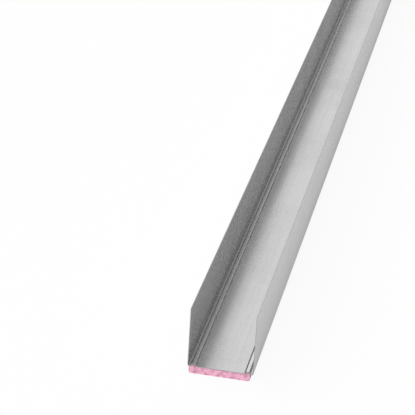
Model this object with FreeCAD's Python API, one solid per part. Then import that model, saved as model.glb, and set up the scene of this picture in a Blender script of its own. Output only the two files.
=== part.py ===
import FreeCAD, Part

import math
import os

# Drywall u-track: one roll-formed steel channel with a foam sealing strip glued under its web.
# Lengths are millimetres. X runs along the track, Y across the web, and Z up from the strip's underside.
# The origin is the middle of the face that the track stands on.

# Steel channel
track_length = 3000.0
track_width = 52.0            # outside face to outside face of the flanges
flange_height = 50.0          # web's underside to the flange's top edge
sheet_thickness = 0.6
flange_bend_radius = 0.8      # inside radius of the two main bends

# Stiffening beads: two low ridges pressed up out of the web, one beside each flange
bead_offset = 2.3             # flange's outside face to the near foot of the bead
bead_height = 1.8
bead_top_width = 2.5
bead_slope_run = 1.1          # how far a bead's side leans over its height
bead_bend_radius = 0.4        # inside radius of a bead's bends

# Foam sealing strip
strip_thickness = 6.0
strip_inset_left = 1.2        # +Y flange's outside face to the strip's edge
strip_inset_right = 2.8       # -Y flange's outside face to the strip's edge
strip_corner_radius = 0.6     # lower long edges
swell_height = 1.1            # how far the foam swells into the hollow under a bead
swell_clearance = 0.35        # foam to the mouth of that hollow, each side


def vector(y, z):
    """A point of the section, at the track's near end."""
    return FreeCAD.Vector(-track_length / 2, y, z)


def bead_centres():
    """Y of the two beads' centre lines."""
    from_edge = bead_offset + bead_slope_run + bead_top_width / 2
    return (-track_width / 2 + from_edge, track_width / 2 - from_edge)


def bead_corners(centre, level):
    """The four bends of one bead on the sheet's middle line, from -Y to +Y."""
    top = bead_top_width / 2
    foot = top + bead_slope_run
    return [
        vector(centre - foot, level),
        vector(centre - top, level + bead_height),
        vector(centre + top, level + bead_height),
        vector(centre + foot, level),
    ]


def middle_line():
    """Corners of the sheet's middle line with the inside radius of each bend; the two ends have none."""
    half = (track_width - sheet_thickness) / 2
    level = strip_thickness + sheet_thickness / 2
    top = strip_thickness + flange_height
    left, right = bead_centres()
    beads = bead_corners(left, level) + bead_corners(right, level)
    corners = [vector(-half, top), vector(-half, level), *beads, vector(half, level), vector(half, top)]
    radii = [flange_bend_radius] + [bead_bend_radius] * len(beads) + [flange_bend_radius]
    return corners, radii


def direction(start, end):
    """Unit vector from one point to the next."""
    step = end - start
    return step / step.Length


def left_normal(step):
    """The section-plane normal on the left of a direction."""
    return FreeCAD.Vector(0, -step.z, step.y)


def turn_angle(before, after):
    """Signed turn between two directions: positive to the left."""
    return math.atan2(before.y * after.z - before.z * after.y, before.dot(after))


def sheet_side(corners, radii, side):
    """Edges of one face of the sheet: side is +1 for the left of the middle line and -1 for the right."""
    shift = side * sheet_thickness / 2
    steps = [direction(a, b) for a, b in zip(corners, corners[1:])]
    edges = []
    start = corners[0] + left_normal(steps[0]) * shift
    for corner, radius, before, after in zip(corners[1:-1], radii, steps, steps[1:]):
        turn = turn_angle(before, after)
        miter = (left_normal(before) + left_normal(after)) / (1 + before.dot(after))
        sharp = corner + miter * shift
        inside = turn * side > 0
        bend = radius if inside else radius + sheet_thickness
        reach = bend * math.tan(abs(turn) / 2)
        arc_start = sharp - before * reach
        arc_end = sharp + after * reach
        towards_centre = direction(sharp, (arc_start + arc_end) / 2)
        crown = sharp + towards_centre * bend * (1 / math.cos(turn / 2) - 1)
        edges.append(Part.makeLine(start, arc_start))
        edges.append(Part.Arc(arc_start, crown, arc_end).toShape())
        start = arc_end
    end = corners[-1] + left_normal(steps[-1]) * shift
    edges.append(Part.makeLine(start, end))
    return edges, end


def make_channel():
    """The steel channel: the bent sheet's section, run along the track's length."""
    corners, radii = middle_line()
    inner, inner_end = sheet_side(corners, radii, +1)
    outer, outer_end = sheet_side(corners, radii, -1)
    inner_start = inner[0].Vertexes[0].Point
    outer_start = outer[0].Vertexes[0].Point
    ends = [Part.makeLine(inner_end, outer_end), Part.makeLine(inner_start, outer_start)]
    outline = Part.Wire(Part.__sortEdges__(inner + outer + ends))
    return Part.Face(outline).extrude(FreeCAD.Vector(track_length, 0, 0))


def hollow_half_width():
    """Half the mouth of the hollow under a bead, at the web's underside."""
    lean = math.atan2(bead_height, bead_slope_run)
    return bead_top_width / 2 + bead_slope_run - sheet_thickness / 2 * math.tan(lean / 2)


def add_line(edges, start, end):
    """A straight edge, left out where the two points meet."""
    if start.distanceToPoint(end) > 1e-6:
        edges.append(Part.makeLine(start, end))


def strip_top(low, high):
    """The strip's upper edges from +Y to -Y: flat under the web, and swollen where a bead's hollow is over it."""
    reach = hollow_half_width() - swell_clearance
    edges = []
    start = vector(high, strip_thickness)
    for centre in reversed(bead_centres()):
        left = min(centre + reach, high)
        right = max(centre - reach, low)
        if left > right:
            swell_start, swell_end = vector(left, strip_thickness), vector(right, strip_thickness)
            crown = vector((left + right) / 2, strip_thickness + swell_height)
            add_line(edges, start, swell_start)
            edges.append(Part.Arc(swell_start, crown, swell_end).toShape())
            start = swell_end
    add_line(edges, start, vector(low, strip_thickness))
    return edges


def make_strip():
    """The foam strip, run along the track's length."""
    low = -track_width / 2 + strip_inset_right
    high = track_width / 2 - strip_inset_left
    outline = [
        Part.makeLine(vector(low, 0), vector(high, 0)),
        Part.makeLine(vector(high, 0), vector(high, strip_thickness)),
        *strip_top(low, high),
        Part.makeLine(vector(low, strip_thickness), vector(low, 0)),
    ]
    strip = Part.Face(Part.Wire(outline)).extrude(FreeCAD.Vector(track_length, 0, 0))
    lower_edges = [e for e in strip.Edges if e.BoundBox.ZMax < 1e-6 and e.BoundBox.XLength > 1]
    return strip.makeFillet(min(strip_corner_radius, strip_thickness / 2), lower_edges)


def main():
    os.makedirs("parts", exist_ok=True)
    pieces = {"track_channel": make_channel(), "sealing_strip": make_strip()}
    for name, shape in pieces.items():
        shape.exportStep(f"parts/{name}.step")
        print(name, shape.ShapeType, "valid", shape.isValid(), "volume", round(shape.Volume, 1))


main()
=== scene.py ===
import math
import bmesh
import bpy
from mathutils import Matrix, Vector, noise


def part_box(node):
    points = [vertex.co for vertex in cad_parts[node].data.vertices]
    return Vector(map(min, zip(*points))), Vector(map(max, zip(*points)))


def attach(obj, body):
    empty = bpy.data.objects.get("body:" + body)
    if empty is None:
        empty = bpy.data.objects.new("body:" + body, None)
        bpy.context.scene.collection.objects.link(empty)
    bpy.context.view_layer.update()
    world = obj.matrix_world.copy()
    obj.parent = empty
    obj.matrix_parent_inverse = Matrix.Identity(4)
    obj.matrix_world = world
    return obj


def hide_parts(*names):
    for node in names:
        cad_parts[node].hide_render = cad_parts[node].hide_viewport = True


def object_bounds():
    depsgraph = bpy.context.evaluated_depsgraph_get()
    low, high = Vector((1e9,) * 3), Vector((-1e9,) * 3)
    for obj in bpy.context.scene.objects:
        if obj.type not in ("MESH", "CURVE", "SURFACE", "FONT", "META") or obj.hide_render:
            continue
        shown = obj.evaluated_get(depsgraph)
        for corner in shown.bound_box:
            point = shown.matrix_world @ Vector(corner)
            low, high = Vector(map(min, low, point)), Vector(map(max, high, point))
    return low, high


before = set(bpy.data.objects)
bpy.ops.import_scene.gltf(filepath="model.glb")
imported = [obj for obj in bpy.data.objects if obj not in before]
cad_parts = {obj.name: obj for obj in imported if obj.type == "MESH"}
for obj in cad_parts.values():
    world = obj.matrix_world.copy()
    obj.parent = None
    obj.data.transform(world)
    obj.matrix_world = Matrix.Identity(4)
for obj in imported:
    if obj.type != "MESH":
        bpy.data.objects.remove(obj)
cadLow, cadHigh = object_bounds()
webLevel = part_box("track_channel")[0].z   # underside of the steel web, where the foam is glued
print("frame loaded:", sorted(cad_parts))

# the view: where the camera stands from the track's near end, and how it is turned
cameraSetup = {
    "fromNearEnd": (-1.3275, -0.2137, 0.7655),
    "aimAcross": 9.89,    # degrees off the track's length, towards +Y
    "aimDown": 24.82,     # degrees below level
    "roll": -3.5,         # degrees
    "lens": 173.1,
}


def makeCamera(setup):
    data = bpy.data.cameras.new("camera")
    data.lens = setup["lens"]
    data.clip_start = 0.05
    data.clip_end = 100
    camera = bpy.data.objects.new("camera", data)
    bpy.context.scene.collection.objects.link(camera)
    place = Vector((cadLow.x, 0, 0)) + Vector(setup["fromNearEnd"])
    across, down = math.radians(setup["aimAcross"]), math.radians(setup["aimDown"])
    aim = Vector((math.cos(down) * math.cos(across), math.cos(down) * math.sin(across), -math.sin(down)))
    turn = aim.to_track_quat("-Z", "Y").to_matrix().to_4x4()
    roll = Matrix.Rotation(math.radians(-setup["roll"]), 4, "Z")
    camera.matrix_world = Matrix.Translation(place) @ turn @ roll
    bpy.context.scene.camera = camera


# small helpers for node trees
def addNode(tree, kind, place, **settings):
    node = tree.nodes.new(kind)
    node.location = place
    for name, value in settings.items():
        setattr(node, name, value)
    return node


def setInputs(node, values):
    for name, value in values.items():
        node.inputs[name].default_value = value


def addNoise(tree, vector, scale, detail, place, roughness=0.5):
    node = addNode(tree, "ShaderNodeTexNoise", place)
    setInputs(node, {"Scale": scale, "Detail": detail, "Roughness": roughness})
    tree.links.new(vector, node.inputs["Vector"])
    return node.outputs["Fac"]


def addRange(tree, value, low, high, toLow, toHigh, place):
    node = addNode(tree, "ShaderNodeMapRange", place, clamp=True)
    setInputs(node, {"From Min": low, "From Max": high, "To Min": toLow, "To Max": toHigh})
    tree.links.new(value, node.inputs["Value"])
    return node.outputs["Result"]


def addMath(tree, operation, first, second, place):
    node = addNode(tree, "ShaderNodeMath", place, operation=operation)
    for socket, value in zip(node.inputs, (first, second)):
        if isinstance(value, (int, float)):
            socket.default_value = value
        else:
            tree.links.new(value, socket)
    return node.outputs[0]


def addMix(tree, factor, first, second, place, blend="MIX"):
    node = addNode(tree, "ShaderNodeMix", place, data_type="RGBA", blend_type=blend)
    sockets = (node.inputs[0], node.inputs[6], node.inputs[7])
    for socket, value in zip(sockets, (factor, first, second)):
        if isinstance(value, (int, float, tuple)):
            socket.default_value = value
        else:
            tree.links.new(value, socket)
    return node.outputs[2]


# lays one colour over another where a mask is white, no more strongly than the amount
def addLayer(tree, mask, amount, under, over, place):
    share = addMath(tree, "MULTIPLY", mask, amount, (place[0] - 200, place[1] - 200))
    return addMix(tree, share, under, over, place)


def stretch(tree, vector, scale, place):
    node = addNode(tree, "ShaderNodeMapping", place)
    node.inputs["Scale"].default_value = scale
    tree.links.new(vector, node.inputs["Vector"])
    return node.outputs["Vector"]


def newMaterial(name):
    material = bpy.data.materials.new(name)
    material.use_nodes = True
    tree = material.node_tree
    coords = addNode(tree, "ShaderNodeTexCoord", (-1600, 0))
    return material, tree, tree.nodes["Principled BSDF"], coords.outputs["Object"]


# one group for the grime that handling leaves on steel and foam alike
handlingLook = {
    "patchRange": (0.42, 0.72),   # how much of the noise shows as patches
    "speckRange": (0.62, 0.76),   # the same for specks
}


def makeHandlingGroup(look):
    group = bpy.data.node_groups.new("handlingMarks", "ShaderNodeTree")
    sockets = group.interface
    sockets.new_socket("Vector", in_out="INPUT", socket_type="NodeSocketVector")
    for name in ("Patch Scale", "Speck Scale"):
        sockets.new_socket(name, in_out="INPUT", socket_type="NodeSocketFloat")
    for name in ("Patches", "Specks"):
        sockets.new_socket(name, in_out="OUTPUT", socket_type="NodeSocketFloat")
    given = addNode(group, "NodeGroupInput", (-700, 0))
    result = addNode(group, "NodeGroupOutput", (500, 0))
    patch = addNode(group, "ShaderNodeTexNoise", (-450, 150))
    setInputs(patch, {"Detail": 4.0, "Roughness": 0.6})
    speck = addNode(group, "ShaderNodeTexNoise", (-450, -150))
    setInputs(speck, {"Detail": 2.0, "Roughness": 0.5})
    for node, scale in ((patch, "Patch Scale"), (speck, "Speck Scale")):
        group.links.new(given.outputs["Vector"], node.inputs["Vector"])
        group.links.new(given.outputs[scale], node.inputs["Scale"])
    patches = addRange(group, patch.outputs["Fac"], *look["patchRange"], 0.0, 1.0, (-150, 150))
    specks = addRange(group, speck.outputs["Fac"], *look["speckRange"], 0.0, 1.0, (-150, -150))
    group.links.new(patches, result.inputs["Patches"])
    group.links.new(specks, result.inputs["Specks"])
    return group


def addHandling(tree, group, vector, look, place):
    node = addNode(tree, "ShaderNodeGroup", place, node_tree=group)
    setInputs(node, {"Patch Scale": look["patchScale"], "Speck Scale": look["speckScale"]})
    tree.links.new(vector, node.inputs["Vector"])
    return node.outputs["Patches"], node.outputs["Specks"]


# the web's two stiffening ridges
beads = {
    "centre": cadHigh.y - 0.00465,
    "crownHalfWidth": 0.00125,
}
steelLook = {
    "zinc": (0.655, 0.655, 0.655, 1),
    "zincDark": (0.62, 0.62, 0.62, 1),
    "zincBright": (0.69, 0.69, 0.69, 1),
    "cutEdge": (0.30, 0.30, 0.31, 1),
    "dust": (0.58, 0.58, 0.57, 1),
    # painted highlight for the crowns of the beads
    "crownHighlight": (0.80, 0.80, 0.80, 1),
    # painted shade for the foot of the outer flange faces
    "flangeFootShade": (0.45, 0.45, 0.455, 1),
    "spangleScale": 420,            # crystals to a metre
    "spangleFade": 0.62,            # how far they blend into one grey
    "streakScale": (2.5, 700, 700),
    "streakShade": (0.96, 1.035),
    "patchScale": 11.0,
    "patchAmount": 0.18,
    "speckScale": 330.0,
    "speckAmount": 0.10,
    "crownHighlightAmount": 0.6,
    "footShadeHeight": 0.016,          # how far up the flange the painted shade reaches
    "footShadeAmount": 0.75,
    "skinDepth": (0.0016, 0.0003),  # from clear of the outer face to well on it
    "endDepth": (0.0004, 0.0001),   # the same for a sheared end
    "topDepth": (0.0003, 0.0001),   # the same for a flange's slit top
    "edgeAmount": 0.6,
    "roughness": (0.23, 0.34),
    "spangleGloss": 0.2,            # shares of that range
    "patchGloss": 0.5,
    "streakRelief": 0.7,
    "bump": {"Strength": 0.03, "Distance": 0.0003},
}


def makeGalvanizedSteel(look, handling):
    material, tree, shader, vector = newMaterial("galvanizedSteel")
    links = tree.links
    # spangle: fine crystals in the zinc, each a little lighter or darker
    spangle = addNode(tree, "ShaderNodeTexVoronoi", (-1350, 350))
    spangle.inputs["Scale"].default_value = look["spangleScale"]
    links.new(vector, spangle.inputs["Vector"])
    crystal = addNode(tree, "ShaderNodeSeparateColor", (-1150, 350))
    links.new(spangle.outputs["Color"], crystal.inputs["Color"])
    colour = addMix(tree, crystal.outputs["Red"], look["zincDark"], look["zincBright"], (-900, 350))
    colour = addMix(tree, look["spangleFade"], colour, look["zinc"], (-700, 350))
    # rolling: faint lines along the track from the forming rolls
    lines = addNoise(tree, stretch(tree, vector, look["streakScale"], (-1350, 0)), 1.0, 3.0, (-1150, 0))
    shade = addRange(tree, lines, 0.3, 0.7, *look["streakShade"], (-900, 0))
    tone = addNode(tree, "ShaderNodeCombineColor", (-700, 0))
    for channel in ("Red", "Green", "Blue"):
        links.new(shade, tone.inputs[channel])
    colour = addMix(tree, 1.0, colour, tone.outputs["Color"], (-500, 350), blend="MULTIPLY")
    # handling: duller patches and a few grey specks
    patches, specks = addHandling(tree, handling, vector, look, (-1350, -250))
    colour = addLayer(tree, patches, look["patchAmount"], colour, look["dust"], (-300, 350))
    colour = addLayer(tree, specks, look["speckAmount"], colour, look["cutEdge"], (-100, 350))
    # painted highlight: the crown of each bead is lightened, standing in for the light it catches
    split = addNode(tree, "ShaderNodeSeparateXYZ", (-1350, -550))
    links.new(vector, split.inputs["Vector"])
    fromMiddle = addMath(tree, "ABSOLUTE", split.outputs["Y"], 0.0, (-1150, -720))
    fromBead = addMath(tree, "SUBTRACT", fromMiddle, beads["centre"], (-1000, -720))
    fromBead = addMath(tree, "ABSOLUTE", fromBead, 0.0, (-850, -720))
    half = beads["crownHalfWidth"]
    crown = addRange(tree, fromBead, half, half * 0.7, 0.0, look["crownHighlightAmount"], (-700, -720))
    colour = addMix(tree, crown, colour, look["crownHighlight"], (0, 350))
    # painted shade: the foot of each flange's outer face is darkened, fading up the flange, in place of
    # a reflected contact shadow
    inner, outer = (cadHigh.y - depth for depth in look["skinDepth"])
    outside = addRange(tree, fromMiddle, inner, outer, 0.0, 1.0, (-900, -1400))
    bandTop = webLevel + look["footShadeHeight"]
    low = addRange(tree, split.outputs["Z"], webLevel, bandTop, 1.0, 0.0, (-900, -1560))
    broken = addRange(tree, lines, 0.25, 0.6, 0.6, 1.0, (-700, -1560))
    footShade = addMath(tree, "MULTIPLY", outside, low, (-700, -1400))
    footShade = addMath(tree, "MULTIPLY", footShade, broken, (-500, -1400))
    colour = addLayer(tree, footShade, look["footShadeAmount"], colour, look["flangeFootShade"], (50, 350))
    # sheared ends and slit edges show grey steel between two skins of zinc
    along = addMath(tree, "ABSOLUTE", split.outputs["X"], 0.0, (-1150, -550))
    inner, outer = (cadHigh.x - depth for depth in look["endDepth"])
    atEnd = addRange(tree, along, inner, outer, 0.0, 1.0, (-900, -550))
    inner, outer = (cadHigh.z - depth for depth in look["topDepth"])
    atTop = addRange(tree, split.outputs["Z"], inner, outer, 0.0, 1.0, (-900, -720))
    edge = addMath(tree, "MAXIMUM", atEnd, atTop, (-700, -600))
    colour = addLayer(tree, edge, look["edgeAmount"], colour, look["cutEdge"], (100, 350))
    links.new(colour, shader.inputs["Base Color"])
    # roughness: duller crystals and patches
    gloss = addMath(tree, "MULTIPLY", crystal.outputs["Green"], look["spangleGloss"], (-900, -900))
    dull = addMath(tree, "MULTIPLY", patches, look["patchGloss"], (-700, -1000))
    gloss = addMath(tree, "ADD", gloss, dull, (-500, -900))
    roughness = addRange(tree, gloss, 0.0, 1.0, *look["roughness"], (-300, -900))
    links.new(roughness, shader.inputs["Roughness"])
    # relief: rolling lines and crystals
    relief = addMath(tree, "MULTIPLY", lines, look["streakRelief"], (-700, -1200))
    relief = addMath(tree, "ADD", relief, crystal.outputs["Blue"], (-500, -1200))
    bump = addNode(tree, "ShaderNodeBump", (-100, -1200))
    setInputs(bump, look["bump"])
    links.new(relief, bump.inputs["Height"])
    links.new(bump.outputs["Normal"], shader.inputs["Normal"])
    shader.inputs["Metallic"].default_value = 1.0
    return material


foamLook = {
    "body": (0.955, 0.385, 0.56, 1),
    "pale": (1.0, 0.60, 0.76, 1),
    "deep": (0.58, 0.22, 0.35, 1),
    "dust": (0.80, 0.62, 0.66, 1),
    "cellScale": 1150,         # cells to a metre
    "blotchScale": 230.0,
    "blotchAmount": 0.85,
    "blotchRelief": 0.6,
    "topShadeDepth": 0.0018,       # the top of the foam is darker where it meets the steel: painted shade
    "glueAmount": 0.25,
    "patchScale": 26.0,
    "patchAmount": 0.12,
    "speckScale": 520.0,
    "speckAmount": 0.35,
    "roughness": 0.85,
    "bump": {"Strength": 0.55, "Distance": 0.0005},
}


def makePinkFoam(look, handling):
    material, tree, shader, vector = newMaterial("pinkFoam")
    links = tree.links
    # cells: thin bright walls round small darker pits
    cells = addNode(tree, "ShaderNodeTexVoronoi", (-1350, 300), feature="DISTANCE_TO_EDGE")
    cells.inputs["Scale"].default_value = look["cellScale"]
    links.new(vector, cells.inputs["Vector"])
    pit = addRange(tree, cells.outputs["Distance"], 0.02, 0.32, 0.0, 1.0, (-1100, 300))
    colour = addMix(tree, pit, look["pale"], look["body"], (-850, 300))
    # blotches: darker, sunken patches where the foam tore
    cloud = addNoise(tree, vector, look["blotchScale"], 4.0, (-1350, 50))
    blotch = addRange(tree, cloud, 0.44, 0.66, 0.0, look["blotchAmount"], (-1100, 50))
    colour = addMix(tree, blotch, colour, look["deep"], (-600, 300))
    split = addNode(tree, "ShaderNodeSeparateXYZ", (-1350, 550))
    links.new(vector, split.inputs["Vector"])
    # painted shade: the foam darkens towards its top, under the steel web
    topShadeBottom = webLevel - look["topShadeDepth"]
    topShade = addRange(tree, split.outputs["Z"], topShadeBottom, webLevel, 0.0, look["glueAmount"], (-1100, 550))
    colour = addMix(tree, topShade, colour, look["deep"], (-480, 300))
    # handling: dusty patches and specks
    patches, specks = addHandling(tree, handling, vector, look, (-1350, -200))
    patches = addMath(tree, "MULTIPLY", patches, look["patchAmount"], (-1100, -200))
    specks = addMath(tree, "MULTIPLY", specks, look["speckAmount"], (-1100, -370))
    grime = addMath(tree, "ADD", patches, specks, (-850, -250))
    colour = addMix(tree, grime, colour, look["dust"], (-350, 300))
    links.new(colour, shader.inputs["Base Color"])
    shader.inputs["Roughness"].default_value = look["roughness"]
    height = addMath(tree, "MULTIPLY", blotch, look["blotchRelief"], (-850, -500))
    height = addMath(tree, "SUBTRACT", height, pit, (-600, -500))
    bump = addNode(tree, "ShaderNodeBump", (-350, -500))
    setInputs(bump, look["bump"])
    links.new(height, bump.inputs["Height"])
    links.new(bump.outputs["Normal"], shader.inputs["Normal"])
    return material


foamStrip = {
    "acrossSteps": 64,
    "thickSteps": 8,
    "alongSteps": 320,
    "swellHalfWidth": 0.00188,   # foam pushed up into the hollow under each bead
    "swellTaper": 3,             # only the upper layers rise with it
    "cutRoughness": 0.0007,      # the knife's tear at the ends
    "tearScales": (420, 1300),   # its coarse and fine lumps, to a metre
    "fineShare": 0.6,
    "edgeWander": 0.00035,       # how far the long edges stray
    "wanderScales": (18, 90),    # along the strip, and up its side
    "wanderTaper": 6,            # only the outer edges stray
    "cornerRound": 0.0007,
    "weldDistance": 0.00002,
    "sharpAngle": 50,
}


def shapeFoamPoint(point, low, high, strip):
    x, y, z = point
    lift = (z - low.z) / (webLevel - low.z)
    for centre in (-beads["centre"], beads["centre"]):
        reach = (y - centre) / strip["swellHalfWidth"]
        if abs(reach) < 1:
            z += lift ** strip["swellTaper"] * (high.z - webLevel) * (1 - reach * reach)
    rounding = strip["cornerRound"]
    dip = rounding - min(y - low.y, high.y - y)
    if dip > 0:
        z += (1 - lift) * (rounding - math.sqrt(max(rounding ** 2 - dip ** 2, 0)))
    middle = (low.y + high.y) / 2
    sideways = (y - middle) / (high.y - middle)
    lengthwise, upward = strip["wanderScales"]
    sideSeed = math.copysign(3.1, sideways)   # so that each side strays its own way
    wander = noise.noise((x * lengthwise, sideSeed, z * upward))
    y += abs(sideways) ** strip["wanderTaper"] * wander * strip["edgeWander"]
    coarse, fine = strip["tearScales"]
    endSeed = math.copysign(7, x)             # so that each end tears its own way
    tear = noise.noise((endSeed, y * coarse, z * coarse))
    tear += strip["fineShare"] * noise.noise((x, y * fine, z * fine))
    inward = max(0.0, 0.5 + 0.5 * tear) * strip["cutRoughness"]
    if abs(x) > high.x - 0.0001:
        x -= math.copysign(inward, x)
    return Vector((x, y, z))


def makeFoamStrip(strip):
    low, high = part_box("sealing_strip")
    bm = bmesh.new()
    bmesh.ops.create_grid(bm, x_segments=strip["acrossSteps"], y_segments=strip["thickSteps"], size=0.5)
    size = Matrix.Diagonal((high.y - low.y, webLevel - low.z, 1, 1))
    # the grid stands across the track at its near end, and is then drawn along it
    stand = Matrix((
        (0, 0, 1, low.x),
        (1, 0, 0, (low.y + high.y) / 2),
        (0, 1, 0, (low.z + webLevel) / 2),
        (0, 0, 0, 1),
    ))
    bmesh.ops.transform(bm, matrix=stand @ size, verts=bm.verts)
    nearCap = bm.faces[:]
    farCap = bmesh.ops.duplicate(bm, geom=nearCap)["geom"]
    farFaces = [item for item in farCap if isinstance(item, bmesh.types.BMFace)]
    farVerts = [item for item in farCap if isinstance(item, bmesh.types.BMVert)]
    bmesh.ops.translate(bm, verts=farVerts, vec=(high.x - low.x, 0, 0))
    bmesh.ops.reverse_faces(bm, faces=farFaces)
    rim = [edge for face in nearCap for edge in face.edges if edge.is_boundary]
    step = Vector(((high.x - low.x) / strip["alongSteps"], 0, 0))
    for _ in range(strip["alongSteps"]):
        grown = bmesh.ops.extrude_edge_only(bm, edges=rim)["geom"]
        rim = [item for item in grown if isinstance(item, bmesh.types.BMEdge)]
        rimVerts = [item for item in grown if isinstance(item, bmesh.types.BMVert)]
        rim = [edge for edge in rim if edge.is_boundary]
        bmesh.ops.translate(bm, verts=rimVerts, vec=step)
    bmesh.ops.remove_doubles(bm, verts=bm.verts, dist=strip["weldDistance"])
    for vert in bm.verts:
        vert.co = shapeFoamPoint(vert.co, low, high, strip)
    bmesh.ops.recalc_face_normals(bm, faces=bm.faces)
    for face in bm.faces:
        face.smooth = True
    mesh = bpy.data.meshes.new("foam_sealing_strip")
    bm.to_mesh(mesh)
    bm.free()
    mesh.set_sharp_from_angle(angle=math.radians(strip["sharpAngle"]))
    foam = bpy.data.objects.new("foam_sealing_strip", mesh)
    bpy.context.scene.collection.objects.link(foam)
    print("foam strip:", len(mesh.polygons), "faces")
    return foam


# the studio: a white floor, a pale sky that is dimmer low on one side, and two soft lamps
studio = {
    "skyBright": 1.0,              # beyond the track's +Y side
    "skyDim": 0.12,                # low beyond its -Y side
    "skyOverhead": 0.85,
    "sideTurn": (-0.30, 0.10),     # the Y of the look where dim gives way to bright
    "overheadTurn": (0.5, 0.85),   # the Z of the look where overhead begins
    "floorColour": (0.90, 0.90, 0.90, 1),
    "floorRoughness": 0.9,
    "floorSize": 60,
    "floorGlowSeen": 0.92,         # the rest of what the camera sees keeps the shadow
    "floorGlowReflected": 0.30,
    "lamps": {
        "keySoftbox": {"place": (0.6, 2.6, 2.6), "aim": (0, 0, 0), "size": 3.4, "power": 30},
        "frontSoftbox": {"place": (-5.0, 0.8, 2.6), "aim": (-1.5, 0, 0), "size": 5.0, "power": 90},
    },
}


def makeLamp(name, place, aim, size, power):
    data = bpy.data.lights.new(name, "AREA")
    data.size = size
    data.energy = power
    lamp = bpy.data.objects.new(name, data)
    bpy.context.scene.collection.objects.link(lamp)
    lamp.visible_camera = False
    lamp.visible_glossy = False   # the steel mirrors only the sky and the floor
    lamp.location = place
    lamp.rotation_euler = (Vector(aim) - Vector(place)).to_track_quat("-Z", "Y").to_euler()


def makeFloor(setup):
    bm = bmesh.new()
    bmesh.ops.create_grid(bm, x_segments=1, y_segments=1, size=setup["floorSize"] / 2)
    mesh = bpy.data.meshes.new("floor")
    bm.to_mesh(mesh)
    bm.free()
    floor = bpy.data.objects.new("floor", mesh)
    bpy.context.scene.collection.objects.link(floor)
    material = bpy.data.materials.new("paleFloor")
    material.use_nodes = True
    tree = material.node_tree
    shader, output = tree.nodes["Principled BSDF"], tree.nodes["Material Output"]
    setInputs(shader, {"Base Color": setup["floorColour"], "Roughness": setup["floorRoughness"]})
    glow = addNode(tree, "ShaderNodeEmission", (0, -300))
    path = addNode(tree, "ShaderNodeLightPath", (-500, 300))
    glossy, transmitted = path.outputs["Is Glossy Ray"], path.outputs["Is Transmission Ray"]
    reflected = addMath(tree, "MAXIMUM", glossy, transmitted, (-300, 200))
    reflected = addMath(tree, "MULTIPLY", reflected, setup["floorGlowReflected"], (-100, 200))
    seen = addMath(tree, "MULTIPLY", path.outputs["Is Camera Ray"], setup["floorGlowSeen"], (-100, 400))
    share = addMath(tree, "MAXIMUM", seen, reflected, (150, 300))
    blend = addNode(tree, "ShaderNodeMixShader", (400, 0))
    tree.links.new(share, blend.inputs["Fac"])
    tree.links.new(shader.outputs[0], blend.inputs[1])
    tree.links.new(glow.outputs[0], blend.inputs[2])
    tree.links.new(blend.outputs[0], output.inputs["Surface"])
    mesh.materials.append(material)


def makeSky(setup):
    world = bpy.data.worlds.new("paleSky")
    world.use_nodes = True
    bpy.context.scene.world = world
    tree = world.node_tree
    sky = tree.nodes["Background"]
    look = addNode(tree, "ShaderNodeTexCoord", (-1000, 0))
    split = addNode(tree, "ShaderNodeSeparateXYZ", (-800, 0))
    tree.links.new(look.outputs["Generated"], split.inputs["Vector"])
    dim, bright = setup["skyDim"], setup["skyBright"]
    side = addRange(tree, split.outputs["Y"], *setup["sideTurn"], dim, bright, (-600, 0))
    turn = setup["overheadTurn"]
    overhead = addRange(tree, split.outputs["Z"], *turn, 0.0, setup["skyOverhead"], (-600, -250))
    path = addNode(tree, "ShaderNodeLightPath", (-600, 300))
    light = addMath(tree, "MAXIMUM", side, overhead, (-450, -100))
    sky.inputs["Color"].default_value = (1, 1, 1, 1)
    strength = addMath(tree, "MAXIMUM", light, path.outputs["Is Camera Ray"], (-300, 100))
    tree.links.new(strength, sky.inputs["Strength"])


makeCamera(cameraSetup)
handlingGroup = makeHandlingGroup(handlingLook)
steel = makeGalvanizedSteel(steelLook, handlingGroup)
foamPink = makePinkFoam(foamLook, handlingGroup)

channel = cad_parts["track_channel"]
channel.data.materials.clear()
channel.data.materials.append(steel)

foam = makeFoamStrip(foamStrip)
foam.data.materials.append(foamPink)
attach(foam, "root")
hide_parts("sealing_strip")
print("pieces placed")

makeFloor(studio)
makeSky(studio)
for lampName, lamp in studio["lamps"].items():
    makeLamp(lampName, **lamp)
bpy.context.scene.view_settings.view_transform = "Standard"
print("studio lit")
